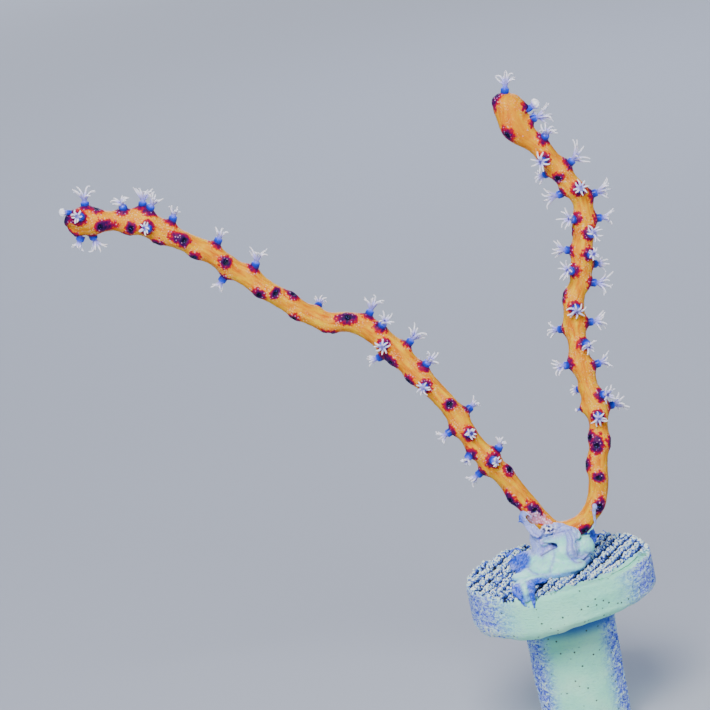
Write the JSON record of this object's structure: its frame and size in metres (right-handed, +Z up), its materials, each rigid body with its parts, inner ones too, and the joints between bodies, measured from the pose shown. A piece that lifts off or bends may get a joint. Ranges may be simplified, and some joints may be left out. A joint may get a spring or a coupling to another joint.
{
  "type": "branching gorgonian",
  "caption": "Soft coral cutting, a knobbly fork of slender arms bearing starry polyps, glued on the ridged head of a stemmed ceramic plug.",
  "frame": {"origin": "centre of the flat foot of the plug's stem", "axes": "+Z up the plug's axis; the colony's fan lies across X with its front towards -Y and the long arm towards -X"},
  "size_m": [0.0555, 0.019, 0.0694],
  "materials": {
    "plug": "unglazed pressed ceramic, fine sandy grain with small pits, pale mint",
    "glue": "set gel glue, folded skin, milky pale blue to mint",
    "rind": "living rind, fine-grained orange yellow with crimson calyces and white polyps"
  },
  "bodies": {
    "root": {"plug": "plug", "glue": "glue", "trunk": "rind", "left_branch": "rind", "right_branch": "rind"}
  },
  "joints": []
}
